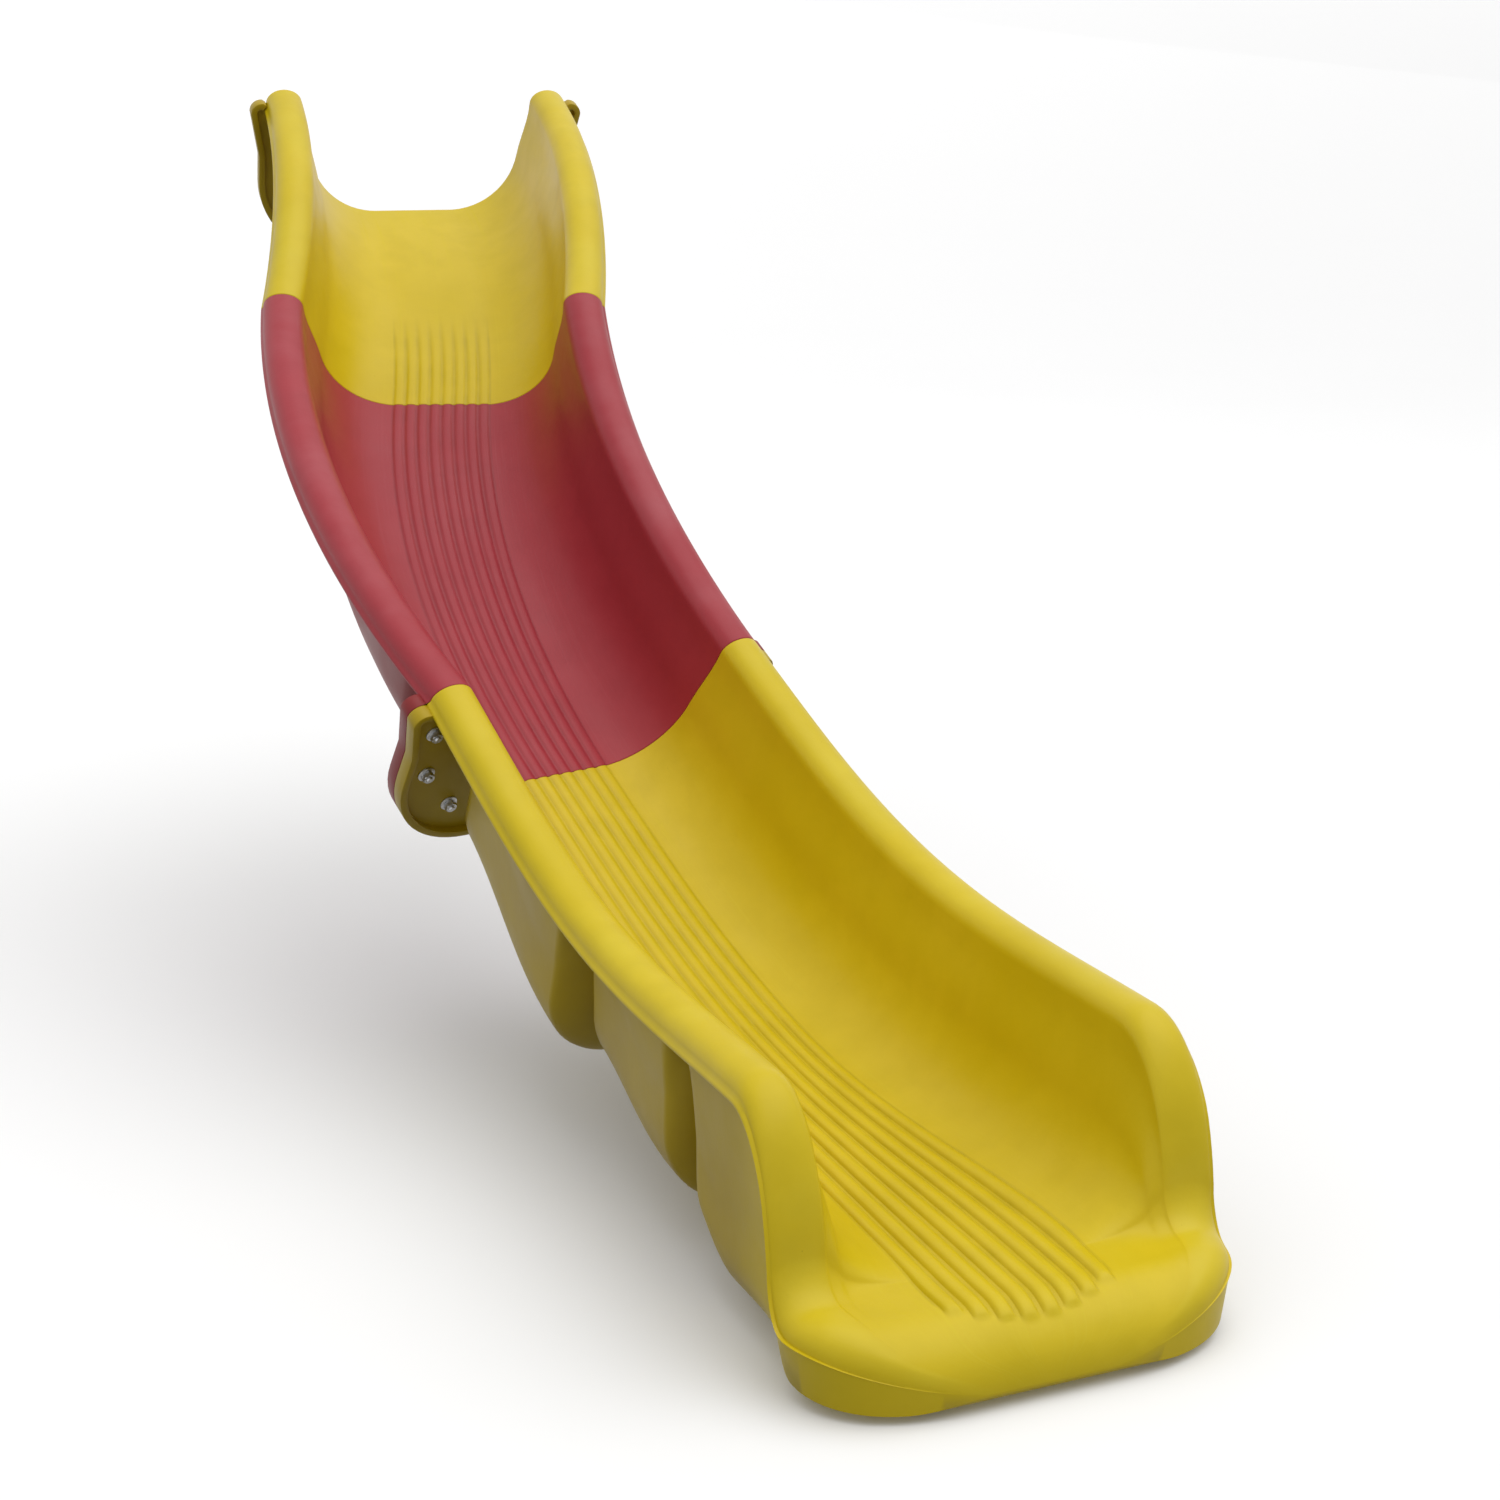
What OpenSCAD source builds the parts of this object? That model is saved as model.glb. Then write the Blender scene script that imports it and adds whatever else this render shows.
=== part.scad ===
// Three-piece moulded wave slide, hung from a deck at its top end.
// The origin is on the entry flange's deck-side face, at its lower middle bolt line.
// +Z is up, and a rider leaves towards -Y. Lengths along the slide follow its floor.

/* [Course] */
// Floor length of the top section
top_length = 680; // [560:10:820]
// Floor length of the middle section
middle_length = 930; // [760:10:1120]
// Floor length of the bottom section, up to where the exit lip rolls over
bottom_length = 1370; // [1150:10:1640]
// Slope at the entry, in degrees below level
entry_slope = 22; // [15:1:28]
// Slope of the long middle run
main_slope = 33; // [27:1:38]
// Floor length over which the entry slope steepens
steepen_length = 500; // [400:10:600]
// Floor length of the level run-out before the lip
run_out_length = 250; // [220:10:320]
// Plan heading at the entry, in degrees off the exit's own heading
entry_heading = 3; // [0:1:15]
// Plan heading at the upper joint
upper_joint_heading = 19; // [0:1:25]
// Plan heading at the lower joint
lower_joint_heading = -14; // [-20:1:0]

/* [Trough] */
// Overall width across the two rails
slide_width = 600; // [500:5:720]
// Depth from the rail crest to the floor
trough_depth = 256; // [210:1:310]
// Width of the flat part of the floor
floor_flat = 152; // [120:1:190]
// Radius between floor and side wall
corner_radius = 135; // [110:1:160]
// Width of one rolled rail
rail_width = 70; // [56:1:84]
// Height of a rail's crest over its outer edge
rail_drop = 28; // [22:1:34]
// Outward lean of the side wall, in degrees
wall_lean = 7; // [4:1:9]
// Moulded wall thickness
wall = 6; // [5:0.5:8]

/* [Pods] */
// Depth of a hollow stiffening pod below the floor
pod_depth = 48; // [36:1:60]
// Corner radius of a pod's underside
pod_radius = 120; // [100:1:140]
// How far a pod's side stays inside the rail's outer edge
pod_inset = 14; // [8:1:24]
// Share of the full pod section that the middle section's pod reaches
middle_pod_share = 0.4; // [0.4:0.05:0.7]
// Length of the first pod on the bottom section
pod_one_length = 495; // [420:5:560]
// Length of the second pod on the bottom section
pod_two_length = 405; // [340:5:440]
// Length over which a pod closes at its lower end
pod_close = 50; // [40:5:80]

/* [Flanges] */
// Thickness of each joint flange
flange_thickness = 12; // [9:1:16]
// Reach of the flange outside the rail
flange_ear = 30; // [22:1:40]
// How far the upper joint's flange stays inside the rails' outer edges
upper_flange_inset = 6; // [4:1:12]
// Depth of the flange below the floor
flange_depth = 78; // [66:1:96]
// Corner radius of the flange outline
flange_radius = 150; // [125:1:165]
// Length behind a flange over which the trough takes up its curve
flange_root = 6; // [5:1:12]
// Clear length behind a flange for the nuts and a spanner
wrench_room = 75; // [60:5:100]
// Gap between two bolted flange faces
joint_gap = 0.2; // [0.1:0.1:0.5]

/* [Fasteners] */
// Thread diameter of the joint bolts
bolt_d = 10; // [8:1:12]
// Clearance of a bolt in its hole, on the diameter
hole_clearance = 1; // [0.6:0.1:1.5]
// Outside diameter of the joint washers
washer_d = 28; // [24:1:34]
// Thickness of the joint washers
washer_thickness = 2.5; // [1.5:0.5:3]
// Thread that stands out past a nut
thread_out = 3; // [1:0.5:6]
// Gap where a fastener seats on a face
seat_gap = 0.1; // [0.05:0.05:0.2]

/* [Exit] */
// Radius of the rolled exit lip, seen from the side
lip_radius = 80; // [65:1:82]
// Depth of the last pod's flat underside below the floor
exit_depth = 92; // [90:1:110]
// Floor length over which the rails come down
rail_fall = 120; // [90:5:160]
// Floor length from the rails' foot to the lip's roll
rail_setback = 60; // [50:5:120]
// How far the lip's corners draw in at each side
lip_corner = 210; // [160:5:230]
// Corner radius of the last pod's underside
foot_radius = 90; // [80:5:110]
// Diameter of a ground pad
pad_d = 76; // [60:1:90]
// Height of a ground pad
pad_height = 12; // [10:1:20]
// Distance between the two ground pads of a pair
pad_spacing = 290; // [250:10:300]
// Diameter of a pad's screw shank
pad_screw_d = 8; // [6:1:10]
// Depth of a pad's screw in the moulding
pad_screw_depth = 6; // [4:0.5:6]

/* [Hidden] */
yellow = "#d2bd12";
red = "#b8434f";
eps = 0.01;

// Stations, as floor lengths from the entry
upper_joint = top_length;
lower_joint = upper_joint + middle_length;
roll_start = lower_joint + bottom_length;
level_from = roll_start - run_out_length;
rail_end = roll_start - rail_setback;
rail_start = rail_end - rail_fall;
course_end = roll_start + lip_radius;

// Holes and hardware
hole_d = bolt_d + hole_clearance;
hex_d = 1.7 * bolt_d / cos(30);
head_height = 0.64 * bolt_d;
nut_height = bolt_d;
grip = 2 * flange_thickness + joint_gap;

// Trough section, as [u, v] with u across and v up from the floor
half = slide_width / 2;
rail_u = half - rail_width / 2;
rail_v = trough_depth - rail_drop;
flat_u = floor_flat / 2;
corner_steps = 6;
rail_steps = 7;
side_u = half - pod_inset;
flange_u = half + flange_ear;

function clamp01(t) = min(1, max(0, t));
function ease(t) = let (c = clamp01(t)) c * c * (3 - 2 * c);
function mix(a, b, t) = a + (b - a) * t;

// Course: slope and plan heading at a station, in degrees
function slope(s) =
    s < lower_joint ? mix(entry_slope, main_slope, ease(s / steepen_length)) :
    mix(main_slope, 0, ease((s - lower_joint) / (level_from - lower_joint)));
function heading(s) =
    s < upper_joint ? mix(entry_heading, upper_joint_heading, s / top_length) :
    s < lower_joint ? mix(upper_joint_heading, lower_joint_heading, (s - upper_joint) / middle_length) :
    mix(lower_joint_heading, 0, clamp01((s - lower_joint) / (rail_end - lower_joint)));
function along(s) =
    [-sin(heading(s)) * cos(slope(s)), -cos(heading(s)) * cos(slope(s)), -sin(slope(s))];
function across(s) = [cos(heading(s)), -sin(heading(s)), 0];
function upward(s) =
    [-sin(slope(s)) * sin(heading(s)), -sin(slope(s)) * cos(heading(s)), cos(slope(s))];

// Floor centre line, summed in short steps from the entry
step = 5;
function steps_to(s) = ceil(s / step);
course = [for (i = 0, p = [0, 0, 0]; i <= steps_to(course_end) + 1;
               p = p + step * along((i + 0.5) * step), i = i + 1) p];
function raw_centre(s) = let (i = floor(s / step)) mix(course[i], course[i + 1], s / step - i);

// The origin sits on the entry face, midway between the channel and the flange's lower edge
entry_v = -(wall + flange_depth) / 2;
function centre(s) = raw_centre(s) - entry_v * upward(0);
function place(s, p) = centre(s) + p[0] * across(s) + p[1] * upward(s);
// The same, but parallel to the joint at another station, so that flange faces stay flat and parallel
function place_off(joint, s, p) =
    centre(joint) + (s - joint) * along(joint) + p[0] * across(joint) + p[1] * upward(joint);

// Half outlines from the middle of the floor to the rail's outer edge, point for point alike
corner_end = 90 - wall_lean;
function corner_point(r, i) =
    let (a = corner_end * i / corner_steps)
    [flat_u + r * sin(a), corner_radius - r * cos(a)];
function rail_point(inset, i) =
    let (a = 180 - 180 * i / (rail_steps - 1))
    [rail_u + (rail_width / 2 - inset) * cos(a), rail_v + (rail_drop - inset) * sin(a)];
function skin_half(t) =
    let (foot = corner_point(corner_radius + t, corner_steps), top = rail_point(-t, 0))
    concat([[0, -t], [flat_u / 2, -t], [flat_u, -t]],
           [for (i = [1:corner_steps]) corner_point(corner_radius + t, i)],
           [mix(foot, [rail_u - rail_width / 2 + t, rail_v], 0.5)],
           [for (i = [0:rail_steps - 1]) rail_point(t, i)]);
function boxy_half(depth, radius, edge_u, top_v, shoulder) =
    let (c = [edge_u - shoulder - radius, radius - depth])
    concat([[0, -depth], [c[0] / 2, -depth], [c[0], -depth]],
           [for (i = [1:corner_steps]) let (a = 90 * i / corner_steps)
               [c[0] + radius * sin(a), c[1] - radius * cos(a)]],
           [[edge_u - shoulder, c[1] + 30]],
           [for (i = [0:rail_steps - 1]) let (q = i / (rail_steps - 1))
               [edge_u - shoulder * (1 - q), mix(c[1] + 55, top_v, q)]]);

inner_half = skin_half(0);
thin_half = skin_half(wall);
pod_half = boxy_half(pod_depth, pod_radius, side_u + 6, rail_v - 4, 8);
foot_half = boxy_half(exit_depth, foot_radius, side_u + 6, rail_v - 4, 8);
ear_r = 22;
function eared(ear_top) =
    let (body = boxy_half(flange_depth, flange_radius, flange_u + 2, rail_v - 16, 16))
    [for (i = [0:len(body) - 1])
        let (q = i - (len(body) - 5))
        q < 0 ? body[i] :
        q < 4 ? [flange_u + 2 - ear_r + ear_r * cos(30 * q), ear_top - ear_r + ear_r * sin(30 * q)] :
        [half + 1, min(rail_v + 2, ear_top - 2)]];
entry_flange = eared(rail_v + 8);
lower_flange = eared(rail_v - 6);
upper_flange_u = half - upper_flange_inset;
upper_flange = boxy_half(flange_depth, flange_radius, upper_flange_u + 2, rail_v - 4, 12);
function flange_half(joint) =
    joint == 0 ? entry_flange : joint == upper_joint ? upper_flange : lower_flange;

// Pods: how far the underside stands out at a station, from the bare skin (0) to the full pod (1)
pods_start = lower_joint + wrench_room;
pod_two = pods_start + pod_one_length;
pod_three = pod_two + pod_two_length;
function foot_share(s) = ease((s - pod_three) / 140);
function depth_at(s) = mix(pod_depth, exit_depth, foot_share(s));
function pod_point(s, i) = mix(pod_half[i], foot_half[i], foot_share(s));
function pod_swell(s, from, to, low, high) =
    s < from || s > to ? 0 :
    mix(low, high, ease((s - from) / (to - from - pod_close))) * clamp01((s - from) / 30)
        * ease((to - s) / pod_close);
function last_pod(s) = s < pod_three ? 0 : ease((s - pod_three) / 60);
function bottom_pods(s) =
    pod_swell(s, pods_start, pod_two, 0.5, 1) + pod_swell(s, pod_two, pod_three, 0.55, 1) + last_pod(s);
middle_pod_from = upper_joint + wrench_room;
middle_pod_to = lower_joint - wrench_room;
function middle_pods(s) = pod_swell(s, middle_pod_from, middle_pod_to, 0.6, 1) * middle_pod_share;

// Rails come down to the floor on a quarter ellipse before the exit, and the lip rolls down after it
least_rail = 0.05;
function rail_share(s) =
    s <= rail_start ? 1 :
    s >= rail_end ? mix(least_rail, 0, ease((s - rail_end) / (course_end - rail_end))) :
    mix(least_rail, 1, sqrt(1 - pow((s - rail_start) / rail_fall, 2)));
function half_share(s) =
    let (t = clamp01((s - rail_end) / (course_end - rail_end)))
    1 - lip_corner / half * (1 - pow(1 - pow(t, 2.5), 0.45));
function lip_fall(s) =
    let (d = min(lip_radius, max(0, s - roll_start))) lip_radius - sqrt(pow(lip_radius, 2) - d * d);

// One closed ring of a section: pod says how far the underside stands out
function under_half(s, pod) =
    [for (i = [0:len(thin_half) - 1]) mix(thin_half[i], pod_point(s, i), pod)];
function lowered(s, p, skin) = [p[0] * half_share(s), (p[1] + skin) * rail_share(s) - skin];
function both_sides(h) = concat([for (i = [len(h) - 1:-1:1]) [-h[i][0], h[i][1]]], h);
function section_ring(s, pod) =
    let (upper = [for (p = both_sides(inner_half)) place(s, lowered(s, p, 0) - [0, lip_fall(s)])],
         skin = mix(wall, depth_at(s), pod),
         lower = [for (p = both_sides(under_half(s, pod))) place(s, lowered(s, p, skin))])
    concat(upper, [for (i = [len(lower) - 1:-1:0]) lower[i]]);

// A flange's rings, parallel to its joint: its two faces, and the bare skin just behind it
function joint_ring(joint, s, outline) =
    let (lower = [for (p = both_sides(outline)) place_off(joint, s, p)])
    concat([for (p = both_sides(inner_half)) place_off(joint, s, p)],
           [for (i = [len(lower) - 1:-1:0]) lower[i]]);
function flange_after(joint, face) =
    [joint_ring(joint, face, flange_half(joint)), joint_ring(joint, face + flange_thickness, flange_half(joint)),
     joint_ring(joint, face + flange_thickness + seat_gap / 2, thin_half)];
function flange_before(joint, face) =
    [joint_ring(joint, face - flange_thickness - seat_gap / 2, thin_half),
     joint_ring(joint, face - flange_thickness, flange_half(joint)), joint_ring(joint, face, flange_half(joint))];

// A body skinned over rings that share their point order; each ring has equal upper and lower halves
module skinned(rings) {
    n = len(rings[0]);
    m = n / 2;
    last = n * (len(rings) - 1);
    sides = [for (r = [0:len(rings) - 2], i = [0:n - 1])
        let (a = r * n + i, b = r * n + (i + 1) % n)
        each [[a, b, b + n], [a, b + n, a + n]]];
    caps = [for (i = [0:m - 2])
        let (j = n - 1 - i)
        each [[i, j, i + 1], [i + 1, j, j - 1],
              [last + i, last + i + 1, last + j], [last + i + 1, last + j - 1, last + j]]];
    polyhedron(points = [for (r = rings, p = r) p], faces = concat(sides, caps), convexity = 12);
}

// Stations from one to another at an even pitch no longer than the one asked for
function stations(from, to, pitch) =
    let (n = max(1, ceil((to - from) / pitch)))
    [for (i = [0:n]) mix(from, to, i / n)];

// Hollow of a pod: from the skin's underside to one wall inside the pod's own underside
cavity_last = len(thin_half) - 4;
function cavity_ring(s, pod) =
    let (upper = [for (i = [0:cavity_last]) thin_half[i]],
         lower = [for (i = [0:cavity_last])
             let (d = pod_point(s, i) - thin_half[i], n = norm(d))
             thin_half[i] + d / n * max(2, pod * n - wall)],
         floor_skin = depth_at(s) - wall,
         narrow = half_share(s + wall) / half_share(s),
         drawn_in = function (p, skin) let (q = lowered(s, p, skin)) [q[0] * narrow, q[1]],
         top_line = [for (p = both_sides(upper)) place(s, drawn_in(p, wall) - [0, lip_fall(s + wall)])],
         low_line = [for (p = both_sides(lower)) place(s, drawn_in(p, floor_skin))])
    concat(top_line, [for (i = [len(low_line) - 1:-1:0]) low_line[i]]);

// Work planes: local x across, local y up from the floor, local z down the slide
module at_station(s) {
    x = across(s);
    y = upward(s);
    z = along(s);
    c = centre(s);
    multmatrix([[x[0], y[0], z[0], c[0]],
                [x[1], y[1], z[1], c[1]],
                [x[2], y[2], z[2], c[2]],
                [0, 0, 0, 1]])
        children();
}

// Bolt places round a joint flange, on one side
function bolt_half(joint) =
    let (edge_u = joint == upper_joint ? upper_flange_u : flange_u,
         web_u = (rail_u - rail_width / 2 + wall + edge_u) / 2)
    [[web_u, rail_v - 60], [web_u - 10, rail_v - 150],
     [edge_u - 118, (corner_radius - flange_depth) / 2 - 30], [96, entry_v]];
entry_half = [bolt_half(0)[0], bolt_half(0)[3]];
function mirrored(points) = concat(points, [for (p = points) [-p[0], p[1]]]);
module at_bolts(s, offset = 0, points = undef) {
    at_station(s)
        for (p = mirrored(is_undef(points) ? bolt_half(s) : points))
            translate([p[0], p[1], offset]) children();
}
module flange_holes(s, points = undef) {
    at_bolts(s, -2 * flange_thickness, points)
        cylinder(d = hole_d, h = 4 * flange_thickness, $fn = 32);
}

module top_chute() {
    to = upper_joint - joint_gap / 2;
    color(yellow)
    difference() {
        skinned(concat(
            flange_after(0, 0),
            [for (s = stations(flange_thickness + flange_root, to - flange_thickness - flange_root, 55))
                section_ring(s, 0)],
            flange_before(upper_joint, to)));
        flange_holes(0, entry_half);
        flange_holes(upper_joint);
    }
}

module middle_chute() {
    from = upper_joint + joint_gap / 2;
    to = lower_joint - joint_gap / 2;
    color(red)
    difference() {
        skinned(concat(
            flange_after(upper_joint, from),
            [for (s = stations(from + flange_thickness + flange_root, to - flange_thickness - flange_root, 45))
                section_ring(s, middle_pods(s))],
            flange_before(lower_joint, to)));
        skinned([for (s = stations(middle_pod_from + 60, middle_pod_to - 40, 70))
            cavity_ring(s, middle_pods(s))]);
        flange_holes(upper_joint);
        flange_holes(lower_joint);
    }
}

// Stations down the rails' fall and over the lip, close together where the outline turns
function exit_bends(reach) =
    concat([for (a = [0:15:75]) rail_start + sin(a) * rail_fall],
           stations(rail_end, roll_start - 20, 40),
           [for (a = [0:15:90]) roll_start + sin(a) * reach]);

module bottom_chute() {
    from = lower_joint + joint_gap / 2;
    bends = concat(stations(from + flange_thickness + flange_root, pods_start - 10, 50),
                   stations(pods_start + 20, pod_two - pod_close, 52),
                   stations(pod_two - pod_close + 17, pod_two + 32, 16),
                   stations(pod_two + 70, pod_three - pod_close, 52),
                   stations(pod_three - pod_close + 17, pod_three + 60, 17),
                   stations(pod_three + 100, rail_start - 30, 60),
                   exit_bends(lip_radius));
    color(yellow)
    difference() {
        skinned(concat(flange_after(lower_joint, from),
                       [for (s = bends) section_ring(s, bottom_pods(s))]));
        for (ends = [[pods_start + 50, pod_two - 30], [pod_two + 40, pod_three - 30]])
            skinned([for (s = stations(ends[0], ends[1], 60)) cavity_ring(s, bottom_pods(s))]);
        skinned([for (s = concat(stations(pod_three + 50, rail_start - 30, 60), exit_bends(lip_radius - 2 * wall)))
            cavity_ring(s, bottom_pods(s))]);
        flange_holes(lower_joint);
        at_pads(-pad_screw_depth - seat_gap)
            cylinder(d = pad_screw_d + 0.4, h = pad_screw_depth + 3, $fn = 32);
    }
}

// Joint hardware: heads on the upper flange, nuts on the lower one
module joint_bolts(s) {
    shank = grip + 2 * washer_thickness + 3 * seat_gap + nut_height + thread_out;
    start = -grip / 2 - washer_thickness - 2 * seat_gap;
    color("silver")
    at_bolts(s, start) {
        translate([0, 0, -head_height]) cylinder(d = hex_d, h = head_height, $fn = 6);
        translate([0, 0, -eps]) cylinder(d = bolt_d, h = shank + eps, $fn = 32);
    }
}
module washers(s, offset) {
    color("silver")
    at_bolts(s, offset)
        difference() {
            cylinder(d = washer_d, h = washer_thickness, $fn = 48);
            translate([0, 0, -1]) cylinder(d = hole_d, h = washer_thickness + 2, $fn = 32);
        }
}
module head_washers(s) { washers(s, -grip / 2 - washer_thickness - seat_gap); }
module nut_washers(s) { washers(s, grip / 2 + seat_gap); }
module joint_nuts(s) {
    color("silver")
    at_bolts(s, grip / 2 + washer_thickness + 2 * seat_gap)
        difference() {
            cylinder(d = hex_d, h = nut_height, $fn = 6);
            translate([0, 0, -1]) cylinder(d = bolt_d + 0.1, h = nut_height + 2, $fn = 32);
        }
}

// Ground pads under the level exit; local z points down from the flat underside
pad_stations = [level_from + pad_d / 2 + 10, roll_start + 10];
module at_pads(offset = 0) {
    for (s = pad_stations, side = [-1, 1])
        translate(place(s, [side * pad_spacing / 2, -exit_depth - offset]))
            rotate([180, 0, 0]) children();
}
screw_head_d = 2 * pad_screw_d;
screw_head_height = 4;
screw_seat = pad_height - screw_head_height - 2;
module ground_pads() {
    color("#3c3a1c")
    at_pads(seat_gap)
        difference() {
            cylinder(d = pad_d, h = pad_height, $fn = 64);
            translate([0, 0, -1]) cylinder(d = pad_screw_d + 0.4, h = pad_height + 2, $fn = 32);
            translate([0, 0, screw_seat]) cylinder(d = screw_head_d + 1, h = pad_height, $fn = 32);
        }
}
module pad_screws() {
    color("silver")
    at_pads(seat_gap + screw_seat + seat_gap) {
        translate([0, 0, -screw_seat - pad_screw_depth])
            cylinder(d = pad_screw_d, h = screw_seat + pad_screw_depth + eps, $fn = 32);
        cylinder(d = screw_head_d, h = screw_head_height, $fn = 32);
    }
}

top_chute();
middle_chute();
bottom_chute();
joint_bolts(upper_joint);  // upper_joint_bolts
head_washers(upper_joint);  // upper_joint_head_washers
nut_washers(upper_joint);  // upper_joint_nut_washers
joint_nuts(upper_joint);  // upper_joint_nuts
joint_bolts(lower_joint);  // lower_joint_bolts
head_washers(lower_joint);  // lower_joint_head_washers
nut_washers(lower_joint);  // lower_joint_nut_washers
joint_nuts(lower_joint);  // lower_joint_nuts
ground_pads();
pad_screws();
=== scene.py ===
"""Wave slide: smooth moulded shells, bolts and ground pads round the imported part."""
import math

import bmesh
import bpy
from bpy.props import FloatProperty, FloatVectorProperty, PointerProperty
from mathutils import Euler, Matrix, Vector


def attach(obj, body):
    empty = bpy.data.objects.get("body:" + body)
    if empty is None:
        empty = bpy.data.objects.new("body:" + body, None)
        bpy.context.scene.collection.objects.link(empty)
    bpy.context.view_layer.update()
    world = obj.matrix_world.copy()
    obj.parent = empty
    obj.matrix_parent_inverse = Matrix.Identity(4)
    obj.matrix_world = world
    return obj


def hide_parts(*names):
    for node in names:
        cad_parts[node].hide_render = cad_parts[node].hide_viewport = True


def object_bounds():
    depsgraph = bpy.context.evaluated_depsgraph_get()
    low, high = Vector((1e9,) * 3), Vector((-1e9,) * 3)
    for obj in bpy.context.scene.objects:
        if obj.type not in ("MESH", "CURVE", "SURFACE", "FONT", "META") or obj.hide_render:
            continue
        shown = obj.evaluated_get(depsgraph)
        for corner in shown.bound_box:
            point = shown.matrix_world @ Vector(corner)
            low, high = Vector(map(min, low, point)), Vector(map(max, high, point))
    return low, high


bl_info = {
    "name": "Wave Slide",
    "version": (1, 0, 0),
    "blender": (4, 5, 0),
    "location": "View3D > Sidebar > Wave Slide",
    "description": "Builds a three-piece moulded wave slide with its joint hardware",
    "category": "Add Mesh",
}

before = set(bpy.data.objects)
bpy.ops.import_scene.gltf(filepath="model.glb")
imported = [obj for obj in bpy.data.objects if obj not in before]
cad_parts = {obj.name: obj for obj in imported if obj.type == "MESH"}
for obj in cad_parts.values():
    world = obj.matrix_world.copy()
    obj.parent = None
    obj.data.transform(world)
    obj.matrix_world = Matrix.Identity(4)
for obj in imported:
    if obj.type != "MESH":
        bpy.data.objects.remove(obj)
FRAME_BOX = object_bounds()
MM = 0.001

# Course of the floor, as the part has it: lengths in mm from the entry, angles in degrees
UPPER_JOINT, LOWER_JOINT, ROLL_START = 680.0, 1610.0, 2980.0
LEVEL_FROM, RAIL_END, RAIL_START, COURSE_END = 2730.0, 2920.0, 2800.0, 3060.0
ENTRY_SLOPE, MAIN_SLOPE, STEEPEN = 22.0, 33.0, 500.0
HEADINGS = (3.0, 19.0, -14.0)
STEP = 5.0
ENTRY_V = -42.0

# Trough section, in mm: u across, v up from the floor
HALF, FLAT_U, CORNER_R, WALL = 300.0, 76.0, 135.0, 6.0
RAIL_U, RAIL_V, RAIL_RX, RAIL_RY = 265.0, 228.0, 35.0, 28.0
CORNER_END = math.radians(83.0)
POD_DEPTH, EXIT_DEPTH, POD_R, FOOT_R, SIDE_U = 48.0, 92.0, 120.0, 90.0, 286.0
FLANGE_T, FLANGE_DEPTH, FLANGE_R, FLANGE_U, UPPER_FLANGE_U = 12.0, 78.0, 150.0, 330.0, 294.0
JOINT_GAP, LIP_R = 0.2, 80.0
PODS_START, POD_TWO, POD_THREE, POD_CLOSE = 1685.0, 2180.0, 2585.0, 50.0
MIDDLE_SHARE = 0.4
LIP_CORNER = 210.0

# Runs along the course over which the pods and the lip change, in mm
WRENCH_ROOM, POD_OPEN, LAST_POD_RUN, FOOT_RUN = 75.0, 38.0, 60.0, 140.0
FIRST_POD_LOW, SECOND_POD_LOW, MIDDLE_POD_LOW = 0.5, 0.55, 0.6
NOSE_WIDTH, NOSE_DROP, NOSE_LEAD, NOSE_RUN = 48.0, 30.0, 30.0, 50.0
LIP_EASE, LIP_ROUND, HEEL_R = 2.5, 0.45, 11.0
# Heights in mm over which the rail crests take the lighter colour of wear and a painted highlight
CREST_FROM, CREST_RUN = 235.0, 20.0
# How far the painted underside shade fades out along the lip's side, and over what run
BRIGHT_SIDE, BRIGHT_LEAD, BRIGHT_RUN = 0.85, 60.0, 140.0

# Ridges: where they begin, grow, fan out and run out, in mm from the entry
RIDGES_FROM, RIDGES_FROM_RUN = 400.0, 190.0
GROW_FROM, GROW_RUN = 2000.0, 700.0
FAN_FROM, FAN_RUN = 2250.0, 650.0
RIDGES_TO, OUTER_SHORTER, RIDGE_END_R = 3012.0, 34.0, 16.0
RIDGE_HALF_WIDTH = 0.40


def ease(t):
    t = min(1.0, max(0.0, t))
    return t * t * (3 - 2 * t)


def mix(a, b, t):
    return a + (b - a) * t


def slope(s):
    if s < LOWER_JOINT:
        return math.radians(mix(ENTRY_SLOPE, MAIN_SLOPE, ease(s / STEEPEN)))
    return math.radians(mix(MAIN_SLOPE, 0, ease((s - LOWER_JOINT) / (LEVEL_FROM - LOWER_JOINT))))


def heading(s):
    first, second, third = HEADINGS
    if s < UPPER_JOINT:
        turn = mix(first, second, s / UPPER_JOINT)
    elif s < LOWER_JOINT:
        turn = mix(second, third, (s - UPPER_JOINT) / (LOWER_JOINT - UPPER_JOINT))
    else:
        turn = mix(third, 0, min(1.0, (s - LOWER_JOINT) / (RAIL_END - LOWER_JOINT)))
    return math.radians(turn)


def along(s):
    a, h = slope(s), heading(s)
    return Vector((-math.sin(h) * math.cos(a), -math.cos(h) * math.cos(a), -math.sin(a)))


def across(s):
    return Vector((math.cos(heading(s)), -math.sin(heading(s)), 0))


def upward(s):
    a, h = slope(s), heading(s)
    return Vector((-math.sin(a) * math.sin(h), -math.sin(a) * math.cos(h), math.cos(a)))


COURSE = [Vector((0, 0, 0)) - ENTRY_V * upward(0)]
while len(COURSE) < COURSE_END / STEP + 3:
    COURSE.append(COURSE[-1] + STEP * along((len(COURSE) - 0.5) * STEP))


def centre(s):
    i = max(0, math.floor(s / STEP))
    return COURSE[i].lerp(COURSE[i + 1], s / STEP - i)


def work_plane(s):
    """Matrix of a station: x across, y up from the floor, z down the slide, in metres."""
    axes = Matrix((across(s), upward(s), along(s))).transposed().to_4x4()
    axes.translation = centre(s) * MM
    return axes


# ---------------------------------------------------------------- section outlines

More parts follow.
